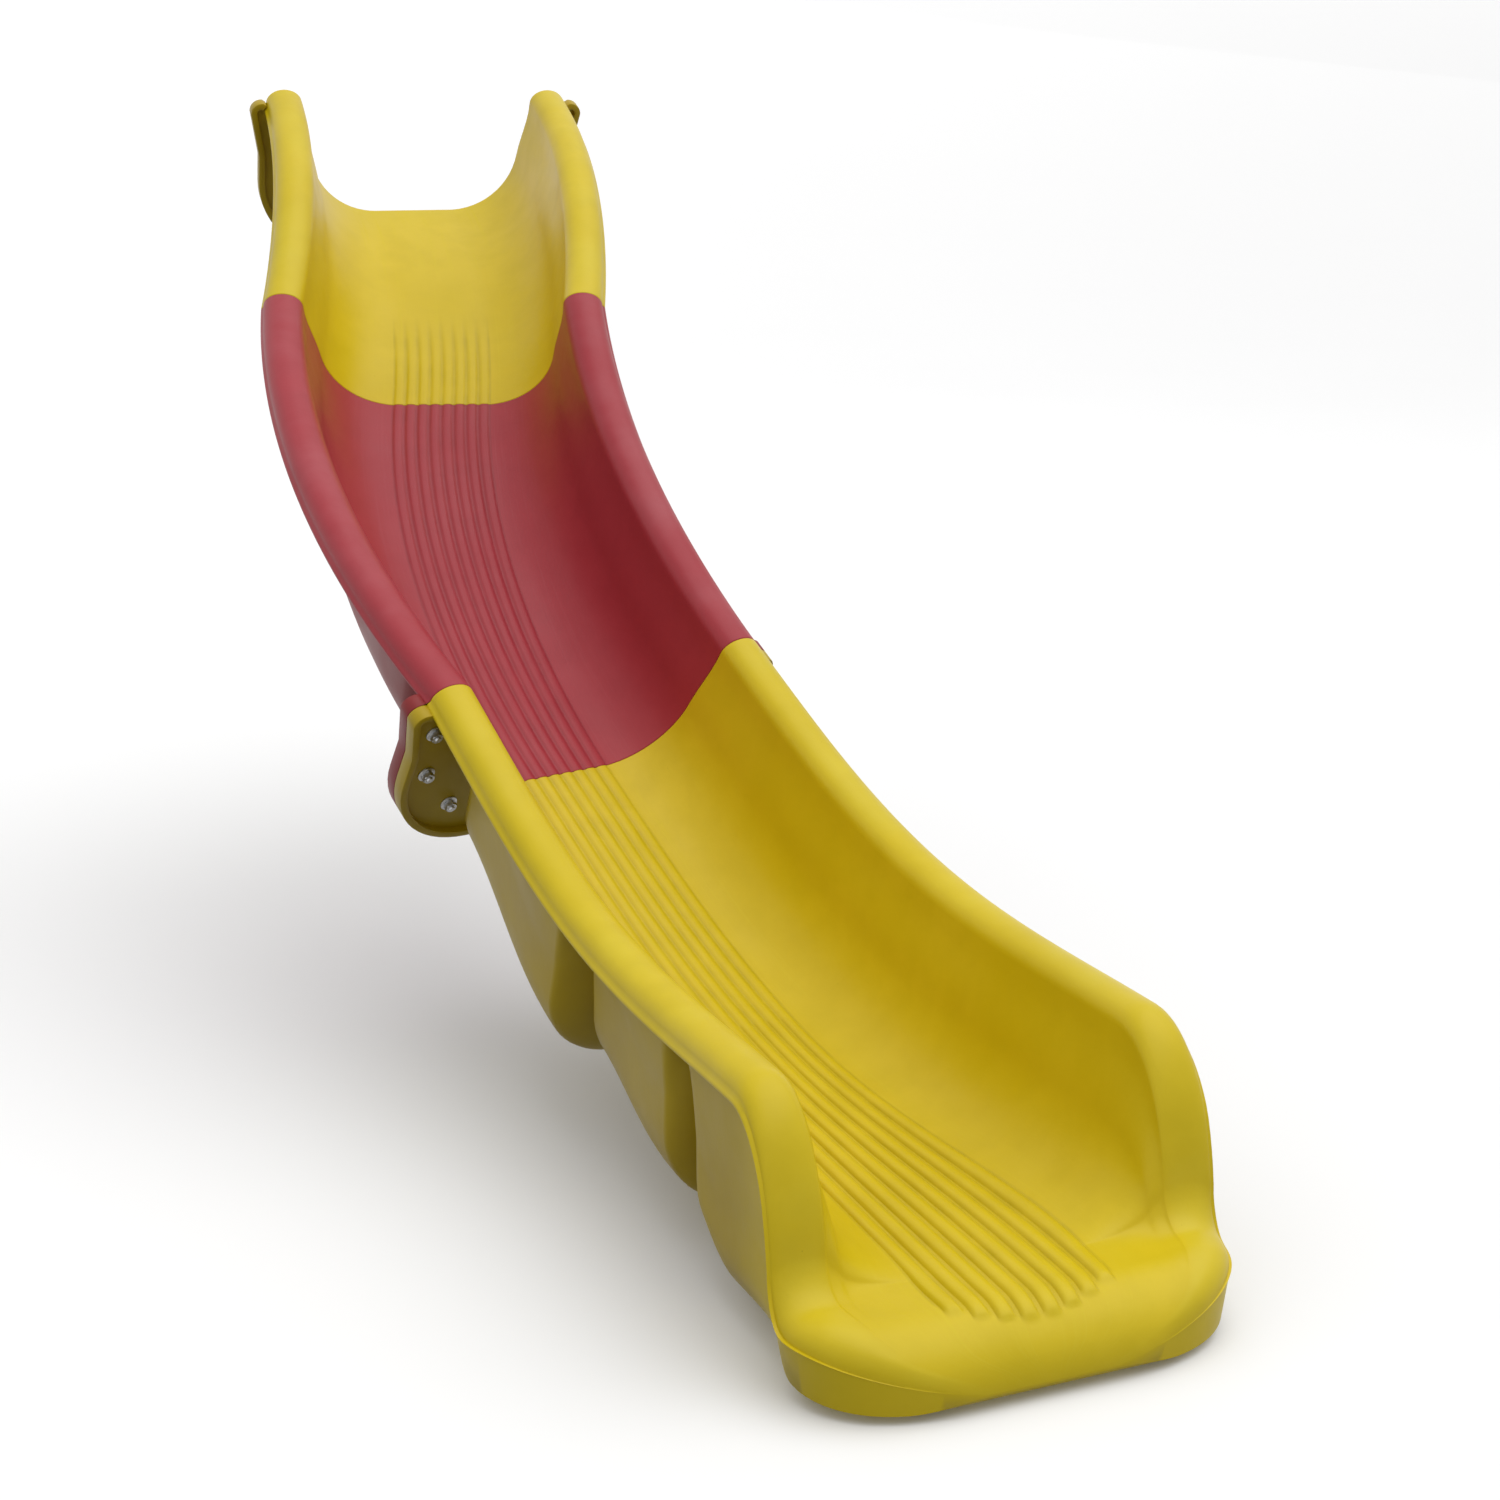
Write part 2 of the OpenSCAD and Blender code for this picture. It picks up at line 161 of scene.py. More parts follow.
FLOOR_PARTS, CORNER_PARTS, SIDE_PARTS, RAIL_PARTS = 3, 14, 3, 14
CORNER_STEPS, FLOOR_FADE_STEPS, SIDE_STEPS, RAIL_STEPS = 12, 7, 6, 18
BEAD_ANGLES, BEAD_DROP = (50, 15, -20, -60), 1.4
POD_SIDE_RISE = 55.0
RIDGES_A_SIDE, RIDGE_PARTS = 4, 10
EDGE_Q = RIDGES_A_SIDE + 0.4


def ridge_pitch(s, look):
    return mix(look.ridge_pitch, look.ridge_pitch_exit, ease((s - FAN_FROM) / FAN_RUN)) / MM


def ridge_height(s, look):
    full = mix(look.ridge_height, look.ridge_height_exit, ease((s - GROW_FROM) / GROW_RUN))
    return ease((s - RIDGES_FROM) / RIDGES_FROM_RUN) * full / MM


def ridge_end(s, q):
    """The ridges run out in round ends, the outer ones first."""
    past = max(0.0, s - RIDGES_TO + OUTER_SHORTER * (q / RIDGES_A_SIDE) ** 2)
    return math.sqrt(max(0.0, 1 - (past / RIDGE_END_R) ** 2))


def ridge_shape(q):
    """Height share of the ridges at q pitches from the middle."""
    if q > RIDGES_A_SIDE:
        return 0.0
    off = abs(q % 1.0 - 0.5) / RIDGE_HALF_WIDTH
    return math.sqrt(max(0.0, 1 - off * off))


def floor_rise(u):
    return 0.0 if u < FLAT_U else CORNER_R - math.sqrt(CORNER_R ** 2 - (u - FLAT_U) ** 2)


def upper_half(s, look):
    """Upper outline from the middle out: (u, v, ridge height, floor share, groove share)."""
    pitch, high = ridge_pitch(s, look), ridge_height(s, look)
    out = []
    for i in range(int(EDGE_Q * RIDGE_PARTS) + 1):
        q = i / RIDGE_PARTS
        r, end = ridge_shape(q), ridge_end(s, math.floor(q) + 0.5)
        groove = (1 - r) * end * min(1.0, high) * (q <= RIDGES_A_SIDE)
        out.append((q * pitch, floor_rise(q * pitch), r * high * end, 1.0, groove))
    start = math.asin((EDGE_Q * pitch - FLAT_U) / CORNER_R)
    for i in range(1, CORNER_STEPS + 1):
        a = mix(start, CORNER_END, i / CORNER_STEPS)
        floor = 1 - ease(i / FLOOR_FADE_STEPS)
        out.append((FLAT_U + CORNER_R * math.sin(a), CORNER_R - CORNER_R * math.cos(a), 0.0, floor, 0.0))
    foot, top = Vector(out[-1][:2]), Vector((RAIL_U - RAIL_RX, RAIL_V))
    pull = (top - foot).length
    rise = Vector((math.cos(CORNER_END), math.sin(CORNER_END)))
    for i in range(1, SIDE_STEPS):
        t = i / SIDE_STEPS
        p = ((2 * t ** 3 - 3 * t ** 2 + 1) * foot + (t ** 3 - 2 * t ** 2 + t) * pull * rise
             + (3 * t ** 2 - 2 * t ** 3) * top + (t ** 3 - t ** 2) * pull * Vector((0, 1)))
        out.append((p.x, p.y, 0.0, 0.0, 0.0))
    for i in range(RAIL_STEPS + 1):
        a = math.pi * (1 - i / RAIL_STEPS)
        out.append((RAIL_U + RAIL_RX * math.cos(a), RAIL_V + RAIL_RY * math.sin(a), 0.0, 0.0, 0.0))
    r = look.bead_size / MM
    for degrees in BEAD_ANGLES:
        a = math.radians(degrees)
        out.append((HALF + r * math.cos(a), RAIL_V - r * BEAD_DROP + r * math.sin(a), 0.0, 0.0, 0.0))
    return out


def thin_half(skin=WALL):
    r = CORNER_R + skin
    out = [(FLAT_U * i / FLOOR_PARTS, -skin) for i in range(FLOOR_PARTS + 1)]
    out += [(FLAT_U + r * math.sin(a), CORNER_R - r * math.cos(a))
            for a in (CORNER_END * i / CORNER_PARTS for i in range(1, CORNER_PARTS + 1))]
    foot, top = out[-1], (RAIL_U - RAIL_RX + skin, RAIL_V)
    out += [(mix(foot[0], top[0], i / (SIDE_PARTS + 1)), mix(foot[1], top[1], i / (SIDE_PARTS + 1)))
            for i in range(1, SIDE_PARTS + 1)]
    out += [(RAIL_U + (RAIL_RX - skin) * math.cos(a), RAIL_V + (RAIL_RY - skin) * math.sin(a))
            for a in (math.pi * (1 - i / RAIL_PARTS) for i in range(RAIL_PARTS + 1))]
    return out


def boxy_half(depth, radius, edge_u, top_v, shoulder):
    cu, cv = edge_u - shoulder - radius, radius - depth
    out = [(cu * i / FLOOR_PARTS, -depth) for i in range(FLOOR_PARTS + 1)]
    out += [(cu + radius * math.sin(a), cv - radius * math.cos(a))
            for a in (math.pi / 2 * i / CORNER_PARTS for i in range(1, CORNER_PARTS + 1))]
    out += [(edge_u - shoulder, cv + POD_SIDE_RISE * i / (SIDE_PARTS + 1)) for i in range(1, SIDE_PARTS + 1)]
    out += [(edge_u - shoulder * (1 - i / RAIL_PARTS), mix(cv + POD_SIDE_RISE, top_v, i / RAIL_PARTS))
            for i in range(RAIL_PARTS + 1)]
    return out


def eared(ear_top):
    """Flange outline from its middle out, with its ear's rounded top beside the rail."""
    out = boxy_half(FLANGE_DEPTH, FLANGE_R, FLANGE_U + 2, RAIL_V - 16, 16)
    ear, turn = 22.0, 9
    first = len(out) - turn - 1
    for k in range(turn):
        a = math.radians(95 * k / (turn - 1))
        out[first + k] = (FLANGE_U + 2 - ear + ear * math.cos(a), ear_top - ear + ear * math.sin(a))
    base = out[first - 5]
    for k in range(1, 5):
        out[first - 5 + k] = (mix(base[0], out[first][0], k / 5), mix(base[1], out[first][1], k / 5))
    out[-1] = (HALF + 2, min(RAIL_V + 4, ear_top - 1))
    return out


THIN = thin_half()
POD = boxy_half(POD_DEPTH, POD_R, SIDE_U + 6, RAIL_V - 4, 8)
FOOT = boxy_half(EXIT_DEPTH, FOOT_R, SIDE_U + 6, RAIL_V - 4, 8)
FLANGES = {0: eared(RAIL_V + 8), LOWER_JOINT: eared(RAIL_V - 6),
           UPPER_JOINT: boxy_half(FLANGE_DEPTH, FLANGE_R, UPPER_FLANGE_U + 2, RAIL_V - 4, 12)}


def blended(a, b, t):
    return [(mix(p[0], q[0], t), mix(p[1], q[1], t)) for p, q in zip(a, b)]


def shrunk(points, by):
    """A half outline drawn in by a distance, along its own normals."""
    out = []
    for i, p in enumerate(points):
        before = Vector(points[i - 1]) if i else Vector((-points[1][0], points[1][1]))
        after = Vector(points[min(i + 1, len(points) - 1)])
        d = (after - before).normalized()
        out.append((p[0] - d.y * by, p[1] + d.x * by))
    return out


def pod_swell(s, start, end, low, high):
    if s < start or s > end:
        return 0.0
    grow = mix(low, high, ease((s - start) / (end - start - POD_CLOSE)))
    return grow * ease((s - start) / POD_OPEN) * ease((end - s) / POD_CLOSE)


def foot_share(s):
    return ease((s - POD_THREE) / FOOT_RUN)


def bottom_pods(s):
    last = 0.0 if s < POD_THREE else ease((s - POD_THREE) / LAST_POD_RUN)
    return (pod_swell(s, PODS_START, POD_TWO, FIRST_POD_LOW, 1)
            + pod_swell(s, POD_TWO, POD_THREE, SECOND_POD_LOW, 1) + last)


def middle_pods(s):
    start, end = UPPER_JOINT + WRENCH_ROOM, LOWER_JOINT - WRENCH_ROOM
    return pod_swell(s, start, end, MIDDLE_POD_LOW, 1) * MIDDLE_SHARE


def no_pods(s):
    return 0.0


LEAST_RAIL, FILLET_RISE, FILLET_RUN = 0.05, 0.24, 40.0
RAIL_FALL = RAIL_END - RAIL_START
FILLET_START = RAIL_START + RAIL_FALL * math.sqrt(1 - (FILLET_RISE / (1 - LEAST_RAIL)) ** 2)


def rail_share(s):
    """Share of the trough's depth that is left at a station: the rails fall to the floor at the exit."""
    if s <= RAIL_START:
        return 1.0
    if s < FILLET_START:
        return mix(LEAST_RAIL, 1, math.sqrt(1 - ((s - RAIL_START) / RAIL_FALL) ** 2))
    flat = mix(LEAST_RAIL, 0, ease((s - RAIL_END) / (COURSE_END - RAIL_END)))
    t = min(1.0, (s - FILLET_START) / FILLET_RUN)
    return flat + FILLET_RISE * (1 - math.sqrt(1 - (1 - t) ** 2))


def half_share(s):
    t = min(1.0, max(0.0, (s - RAIL_END) / (COURSE_END - RAIL_END)))
    return 1 - LIP_CORNER / HALF * (1 - (1 - t ** LIP_EASE) ** LIP_ROUND)


def drawn_in(u, narrow):
    """Width of a point where the lip narrows: the edges draw in, and the ridges keep their lines."""
    power = ease((narrow - 0.45) / 0.35)
    return u * (1 - (1 - narrow) * (abs(u) / HALF) ** power)


def lip_fall(s):
    d = min(LIP_R, max(0.0, s - ROLL_START))
    return LIP_R - math.sqrt(LIP_R ** 2 - d * d)


def nose_drop(s, u):
    """How far the lip's upper surface rounds down at its side edges."""
    t = min(1.0, max(0.0, (abs(u) - HALF + NOSE_WIDTH) / NOSE_WIDTH))
    near = ease((s - RAIL_END + NOSE_LEAD) / NOSE_RUN)
    return NOSE_DROP * near * (1 - lip_fall(s) / LIP_R) * (1 - math.sqrt(1 - t * t))


def shaded_side(s):
    """How much of the painted underside shade the outline has: the lip's side gets little of it, so it is as
    bright as its top.
    """
    return 1 - BRIGHT_SIDE * ease((s - RAIL_START + BRIGHT_LEAD) / BRIGHT_RUN)


def lip_heel(s):
    """How far the underside curves up at the lip's front edge."""
    d = min(HEEL_R, max(0.0, s - COURSE_END + HEEL_R))
    return HEEL_R - math.sqrt(HEEL_R ** 2 - d * d)


# ---------------------------------------------------------------- rings and shells

class Ring:
    """One closed outline of a shell, ready to be skinned to the next."""

    def __init__(self, s):
        self.s, self.points, self.marks = s, [], []

    def add(self, point, *marks):
        self.points.append(point * MM)
        self.marks.append(marks)


def ring_at(s, look, under, skin, inset=0.0, low_s=None, joint=None):
    """The ring of a station, from the left rail's edge over the floor and back underneath.
    A flange's underside has a station of its own, and stays parallel to its joint."""
    ring = Ring(s)
    x, y, z, middle = across(s), upward(s), along(s), centre(s)
    narrow, share, fall = half_share(s), rail_share(s), lip_fall(s)
    roll = math.asin(min(1.0, max(0.0, (s - ROLL_START) / LIP_R)))
    normal = math.cos(roll) * y + math.sin(roll) * z
    half = upper_half(s, look)
    outline = shrunk([p[:2] for p in half], -inset)
    upper = [(drawn_in(u, narrow), v * share - fall - nose_drop(s, u), v) + p[2:]
             for (u, v), p in zip(outline, half)]
    # Upper points carry the floor share, the groove share for the painted shade in the grooves, and the crest
    # share for wear and a painted highlight
    for u, v, level, high, flat, groove in [(-p[0],) + p[1:] for p in upper[:0:-1]] + upper:
        ring.add(middle + u * x + v * y + high * normal, flat, groove, ease((level - CREST_FROM) / CREST_RUN), 0.0)
    if joint is not None:
        x, y, z = across(joint), upward(joint), along(joint)
        middle = centre(joint) + (low_s - joint) * z
    heel = lip_heel(s)
    low = [(drawn_in(u, narrow), (v + skin) * share - skin + heel) for u, v in shrunk(under, inset)]
    # Underside points carry their share of painted shade
    for u, v in low[::-1] + [(-u, v) for u, v in low[1:]]:
        ring.add(middle + u * x + v * y, 0.0, 0.0, 0.0, shaded_side(s))
    return ring


def flange_rings(joint, face, way, look):
    """Rings of a flange from its joint face back to the bare skin; way is +1 after a joint and -1 before it."""
    r, rim_w, back = look.edge_round / MM, look.rim_width / MM, FLANGE_T + look.rim_depth / MM
    edge = FLANGES[joint]
    steps = [(0, 0, edge, r), (0.3 * r, 0.3 * r, edge, 0.3 * r), (r, r, edge, 0), (r + 2, back - r, edge, 0),
             (r + 3, back - 0.3 * r, shrunk(edge, 0.3 * r), 0), (r + 4, back, shrunk(edge, r), 0),
             (r + 5, back, shrunk(edge, rim_w - r), 0),
             (r + 6, back - 0.3 * r, shrunk(edge, rim_w - 0.3 * r), 0),
             (r + 7, back - r, shrunk(edge, rim_w), 0), (r + 8, FLANGE_T, shrunk(edge, rim_w), 0),
             (r + 9, FLANGE_T, shrunk(THIN, -4), 0), (r + 10, FLANGE_T + 1.2, shrunk(THIN, -1.2), 0),
             (FLANGE_T + 4, FLANGE_T + 4, THIN, 0)]
    rings = [ring_at(face + way * high, look, outline, WALL, inset, face + way * low, joint)
             for high, low, outline, inset in steps]
    return rings if way > 0 else rings[::-1]


def stations(start, end, pitch):
    n = max(1, math.ceil((end - start) / pitch))
    return [mix(start, end, i / n) for i in range(n + 1)]


def body_rings(places, pods, look):
    rings = []
    for s in places:
        pod = pods(s)
        full = blended(POD, FOOT, foot_share(s))
        skin = mix(WALL, mix(POD_DEPTH, EXIT_DEPTH, foot_share(s)), pod)
        rings.append(ring_at(s, look, blended(THIN, full, pod), skin))
    return rings


def exit_stations():
    fall = [RAIL_START + RAIL_FALL * math.sin(math.radians(a)) for a in range(5, 75, 5)]
    fall = [s for s in fall if s < FILLET_START - 1] + [FILLET_START]
    fillet = [FILLET_START + FILLET_RUN * (1 - math.cos(math.radians(a))) for a in range(12, 91, 6)]
    flat = stations(fillet[-1] + 4, ROLL_START - 4, 8)
    edge = [COURSE_END - HEEL_R * (1 - math.sin(math.radians(a))) for a in (60, 70, 78, 84, 90)]
    roll = [ROLL_START + LIP_R * math.sin(math.radians(a)) for a in range(0, 84, 3)]
    return fall + fillet + flat + [s for s in roll if s < edge[0] - 0.6] + edge


def swept_shell(name, rings):
    """Skins the rings: a circle is made, laid on the first ring and drawn out ring by ring."""
    bm = bmesh.new()
    order = bm.verts.layers.int.new("order")
    layers = [bm.verts.layers.float.new(n) for n in ("floor", "groove", "crest", "under", "run")]
    count = len(rings[0].points)
    verts = bmesh.ops.create_circle(bm, segments=count, radius=1.0, cap_ends=False)["verts"]
    edges = bm.edges[:]
    for i, v in enumerate(verts):
        v[order] = i
    first = None
    for ring in rings:
        if first is not None:
            made = bmesh.ops.extrude_edge_only(bm, edges=edges)["geom"]
            verts = sorted((g for g in made if isinstance(g, bmesh.types.BMVert)), key=lambda v: v[order])
            fresh = set(verts)
            edges = [g for g in made if isinstance(g, bmesh.types.BMEdge) and fresh.issuperset(g.verts)]
        else:
            first = edges
        for v, p, marks in zip(verts, ring.points, ring.marks):
            v.co = p
            for layer, value in zip(layers, marks + (ring.s * MM,)):
                v[layer] = value
    for loop in (first, edges):
        bmesh.ops.edgeloop_fill(bm, edges=loop)
    around, travelled = [0.0], 0.0
    sample = rings[len(rings) // 2].points
    for a, b in zip(sample, sample[1:] + sample[:1]):
        travelled += (b - a).length
        around.append(travelled)
    uv = bm.loops.layers.uv.new("course")
    for face in bm.faces:
        numbers = [loop.vert[order] for loop in face.loops]
        wraps = max(numbers) - min(numbers) > count / 2 and len(numbers) == 4
        for loop, n in zip(face.loops, numbers):
            loop[uv].uv = (around[count] if wraps and n == 0 else around[n], loop.vert[layers[-1]])
    bmesh.ops.recalc_face_normals(bm, faces=bm.faces)
    return finished(name, bm, sharp=42)


def finished(name, bm, sharp=35):
    """Turns a bmesh into a linked object with smooth faces and sharp hard edges."""
    for face in bm.faces:
        face.smooth = True
    for edge in bm.edges:
        if len(edge.link_faces) == 2 and edge.calc_face_angle(0) > math.radians(sharp):
            edge.smooth = False
    mesh = bpy.data.meshes.new(name)
    bm.to_mesh(mesh)
    bm.free()
    piece = bpy.data.objects.new(name, mesh)
    bpy.context.scene.collection.objects.link(piece)
    return piece


def settle(piece, material, slot, *nodes):
    piece.data.materials.append(material)
    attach(piece, "root")
    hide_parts(*nodes)


# ---------------------------------------------------------------- materials

class Nodes:
    """Short calls to lay out a material's nodes."""

    def __init__(self, name):
        self.material = bpy.data.materials.new(name)
        self.material.use_nodes = True
        self.tree = self.material.node_tree
        self.shader = self.tree.nodes["Principled BSDF"]

    def new(self, kind, inputs=None, **settings):
        node = self.tree.nodes.new(kind)
        for key, value in settings.items():
            setattr(node, key, value)
        for key, value in (inputs or {}).items():
            if isinstance(value, bpy.types.NodeSocket):
                self.tree.links.new(value, node.inputs[key])
            else:
                node.inputs[key].default_value = value
        return node

    def noise(self, vector, scale, detail=3.0, rough=0.55):
        inputs = {"Vector": vector, "Scale": scale, "Detail": detail, "Roughness": rough}
        return self.new("ShaderNodeTexNoise", inputs).outputs["Fac"]

    def remap(self, value, low, high, to_low, to_high):
        return self.new("ShaderNodeMapRange", {"Value": value, "From Min": low, "From Max": high,
                                               "To Min": to_low, "To Max": to_high}).outputs["Result"]

    def times(self, a, b):
        return self.new("ShaderNodeMath", {0: a, 1: b}, operation="MULTIPLY").outputs[0]

    def plus(self, a, b):
        return self.new("ShaderNodeMath", {0: a, 1: b}, operation="ADD").outputs[0]

    def mixed(self, share, a, b):
        node = self.new("ShaderNodeMix", data_type="RGBA")
        for key, value in ((0, share), (6, a), (7, b)):
            if isinstance(value, bpy.types.NodeSocket):
                self.tree.links.new(value, node.inputs[key])
            else:
                node.inputs[key].default_value = value
        return node.outputs[2]

    def mark(self, name):
        return self.new("ShaderNodeAttribute", attribute_name=name).outputs["Fac"]

    def bump(self, height, strength, distance, normal=None):
        inputs = {"Height": height, "Strength": strength, "Distance": distance}
        if normal is not None:
            inputs["Normal"] = normal
        return self.new("ShaderNodeBump", inputs).outputs["Normal"]

    def finish(self, colour, rough, normal):
        for key, value in (("Base Color", colour), ("Roughness", rough), ("Normal", normal)):
            self.tree.links.new(value, self.shader.inputs[key])
        return self.material


def tone(colour, factor, grey=0.0):
    """A colour scaled, and drawn towards its own grey."""
    level = sum(colour[:3]) / 3
    return tuple(min(1.0, mix(c, level, grey) * factor) for c in colour[:3]) + (1.0,)


def moulded_plastic(name, colour, worn_and_highlight, dull, look):
    """Rotationally moulded plastic: drifting colour, scuffs down the floor, rail crests lighter with wear and a
    painted highlight, painted shade in the grooves and on the undersides, orange peel.
    """
    n = Nodes(name)
    place = n.new("ShaderNodeTexCoord").outputs["Object"]
    course = n.new("ShaderNodeUVMap", uv_map="course").outputs["UV"]
    drift = n.remap(n.noise(place, 2.6, 4.0), 0.35, 0.65, 0.0, 1.0)
    cloudy = n.remap(n.noise(place, 17.0, 3.0), 0.4, 0.7, 0.0, 0.5)
    base = n.mixed(drift, tone(colour, 0.95), tone(colour, 1.04, 0.02))
    base = n.mixed(cloudy, base, tone(colour, 0.9))
    long_way = n.new("ShaderNodeMapping", {"Vector": course, "Scale": (150.0, 3.2, 1.0)}).outputs["Vector"]
    streaks = n.remap(n.noise(long_way, 1.0, 5.0, 0.65), 0.52, 0.72, 0.0, 1.0)
    scuff = n.times(streaks, n.mark("floor"))
    base = n.mixed(n.times(scuff, look.scuffing), base, worn_and_highlight)
    # Rail crests lighter: wear together with a painted highlight on the top-facing crests
    rubbed_and_highlit = n.remap(n.noise(place, 6.0, 4.0), 0.45, 0.75, 0.0, 0.30)
    base = n.mixed(n.times(n.mark("crest"), rubbed_and_highlit), base, worn_and_highlight)
    # Painted shade in the grooves between the ridges
    groove_shade = n.times(n.mark("groove"), n.remap(n.noise(place, 22.0, 4.0), 0.3, 0.7, 0.15, look.groove_shade))
    base = n.mixed(groove_shade, base, tone(colour, 0.42))
    cells = n.new("ShaderNodeTexVoronoi", {"Vector": place, "Scale": 42.0}).outputs["Distance"]
    speck = n.remap(cells, 0.0, 0.055, 0.6, 0.0)
    patchy = n.remap(n.noise(place, 9.0, 2.0), 0.55, 0.7, 0.0, 1.0)
    base = n.mixed(n.times(speck, patchy), base, tone(colour, 0.35))
    # Painted shade: the undersides and outer faces are darkened towards the dull colour
    shaded = n.times(n.mark("under"), n.remap(n.noise(place, 5.0, 4.0), 0.3, 0.7, 0.55, 0.8))
    base = n.mixed(shaded, base, dull)
    rough = n.plus(n.remap(n.noise(place, 8.0, 4.0), 0.3, 0.7, 0.36, 0.46), n.times(scuff, 0.16))
    peel = n.bump(n.noise(place, 190.0, 2.0), 0.10, 0.0012)
    wavy = n.bump(n.noise(place, 13.0, 2.0), 0.12, 0.006, peel)
    scratch = n.bump(n.times(streaks, n.mark("floor")), 0.10, 0.0006, wavy)
    n.shader.inputs["IOR"].default_value = 1.5
    n.shader.inputs["Specular IOR Level"].default_value = 0.28
    return n.finish(base, rough, scratch)


def zinc(name, colour):
    """Bright zinc plate with fine turning marks and dull patches."""
    n = Nodes(name)
    place = n.new("ShaderNodeTexCoord").outputs["Object"]
    patches = n.remap(n.noise(place, 160.0, 4.0), 0.35, 0.7, 0.0, 1.0)
    base = n.mixed(patches, tone(colour, 1.0), tone(colour, 0.7))
    rust = n.remap(n.noise(place, 75.0, 5.0, 0.7), 0.64, 0.78, 0.0, 0.5)
    base = n.mixed(rust, base, (0.20, 0.10, 0.05, 1.0))
    n.shader.inputs["Metallic"].default_value = 1.0
    rough = n.remap(n.noise(place, 420.0, 3.0), 0.3, 0.7, 0.28, 0.5)
    return n.finish(base, rough, n.bump(n.noise(place, 900.0, 2.0), 0.15, 0.0002))


def rubber(name, colour):
    """Dull rubber, dusty towards its ribs."""
    n = Nodes(name)
    place = n.new("ShaderNodeTexCoord").outputs["Object"]
    dust = n.remap(n.noise(place, 60.0, 5.0), 0.45, 0.75, 0.0, 0.55)
    base = n.mixed(dust, tone(colour, 1.0), tone(colour, 2.4, 0.3))
    rough = n.remap(n.noise(place, 90.0, 3.0), 0.3, 0.7, 0.62, 0.85)
    return n.finish(base, rough, n.bump(n.noise(place, 500.0, 3.0), 0.3, 0.0006))


def material(name, make, *facts):
    return bpy.data.materials.get(name) or make(name, *facts)


# ---------------------------------------------------------------- settings

def size(name, description, default):
    return FloatProperty(name=name, description=description, default=default, min=0.0,
                         unit="LENGTH", subtype="DISTANCE", precision=4)


def colour(name, description, default):
    return FloatVectorProperty(name=name, description=description, default=default, size=3,
                               min=0.0, max=1.0, subtype="COLOR")


def share(name, description, default, most=1.0):
    return FloatProperty(name=name, description=description, default=default,
                         min=0.0, max=most, subtype="FACTOR")


class WaveSlideMoulding(bpy.types.PropertyGroup):
    """Sizes and colours of the three mouldings"""
    ridge_pitch: size("Ridge Pitch", "Distance between two anti-slip ridges on the steep floor", 0.0225)
    ridge_pitch_exit: size("Exit Ridge Pitch", "Distance between two ridges at the exit", 0.0300)
    ridge_height: size("Ridge Height", "Height of a ridge on the steep floor", 0.0024)
    ridge_height_exit: size("Exit Ridge Height", "Height of a ridge on the run-out", 0.0058)
    bead_size: size("Bead Size", "Radius of the bead along each rail's outer edge", 0.0050)
    edge_round: size("Edge Radius", "Radius on the edges at each joint", 0.0014)
    rim_width: size("Rim Width", "Width of the raised rim round each flange", 0.0120)
    rim_depth: size("Rim Depth", "How far the rim stands up from the flange's back", 0.0120)
    yellow: colour("Yellow", "Colour of the top and bottom sections", (0.640, 0.480, 0.003))
    red: colour("Red", "Colour of the middle section", (0.370, 0.034, 0.046))
    scuffing: share("Scuffing", "How strongly the sliding marks show", 0.20)
    # The grooves' darkening is painted shade
    groove_shade: share("Groove Shade", "How dark the grooves between the ridges get", 0.32)


class WaveSlideHardware(bpy.types.PropertyGroup):
    """Sizes and colours of the bolts and pads"""
    bolt: size("Bolt Diameter", "Thread diameter of the joint bolts", 0.010)
    thread_pitch: size("Thread Pitch", "Distance between two threads", 0.0015)
    washer: size("Washer Diameter", "Outside diameter of the washers", 0.028)
    washer_thickness: size("Washer Thickness", "Thickness of the washers", 0.0025)
    pad: size("Pad Diameter", "Diameter of a ground pad", 0.076)
    pad_height: size("Pad Height", "Height of a ground pad", 0.012)
    zinc: colour("Zinc", "Colour of the plated steel", (0.62, 0.63, 0.64))
    rubber: colour("Rubber", "Colour of the ground pads", (0.045, 0.043, 0.030))


class WaveSlideStage(bpy.types.PropertyGroup):
    """Floor and lights"""
    floor: colour("Floor", "Colour of the floor", (0.90, 0.90, 0.90))
    sun: FloatProperty(name="Overhead Light", description="Strength of the wide overhead light",
                       default=1.3, min=0.0)
    sky: share("Sky", "Brightness of the surroundings overhead", 0.95, 3.0)
    horizon: share("Horizon", "Brightness of the surroundings level with the slide", 0.62, 3.0)
    below: share("Below", "Brightness of the surroundings from below", 0.22, 3.0)


# ---------------------------------------------------------------- operators

# Lighter colours for the floor's scuffs and the rail crests (wear, and a painted highlight on the crests), and
# darker colours for the painted shade on the undersides and outer faces
YELLOW_WEAR_AND_HIGHLIGHT, YELLOW_PAINTED_SHADE = (0.68, 0.58, 0.05, 1.0), (0.34, 0.225, 0.004, 1.0)
RED_WEAR_AND_HIGHLIGHT, RED_PAINTED_SHADE = (0.46, 0.14, 0.16, 1.0), (0.20, 0.018, 0.014, 1.0)


def yellow_plastic(look):
    return material("yellow_moulding", moulded_plastic, look.yellow, YELLOW_WEAR_AND_HIGHLIGHT, YELLOW_PAINTED_SHADE, look)


def red_plastic(look):
    return material("red_moulding", moulded_plastic, look.red, RED_WEAR_AND_HIGHLIGHT, RED_PAINTED_SHADE, look)


